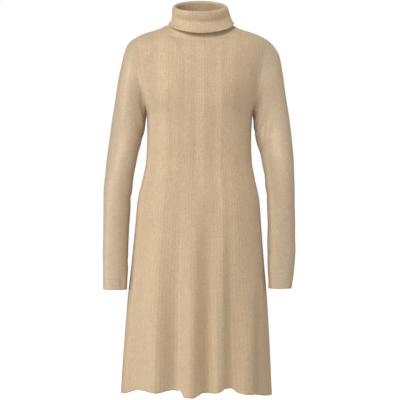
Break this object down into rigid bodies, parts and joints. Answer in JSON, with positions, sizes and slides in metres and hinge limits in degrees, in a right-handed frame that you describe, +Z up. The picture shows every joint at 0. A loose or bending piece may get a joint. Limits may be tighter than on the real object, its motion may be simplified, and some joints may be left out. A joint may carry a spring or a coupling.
{
  "type": "sweater dress",
  "caption": "Long-sleeved knee-length dress in fine ribbed knit with a turned-down roll collar and a flared skirt, filled out as it is worn.",
  "frame": {"origin": "middle of the neck base, level with the inner ends of the shoulder seams, where the wearer's shoulders hold the dress", "axes": "+Z up, the front faces -Y, +X toward the wearer's left sleeve"},
  "size_m": [0.5065, 0.3368, 1.0561],
  "materials": {
    "rib_knit": "matte ribbed wool knit, beige melange",
    "plain_knit": "matte fine plain wool knit, beige melange",
    "collar_knit": "matte fine ribbed wool knit, beige melange"
  },
  "bodies": {
    "root": {"front": "rib_knit", "back": "rib_knit", "sleeve_right": "plain_knit", "sleeve_left": "plain_knit", "collar": "collar_knit"}
  },
  "joints": []
}
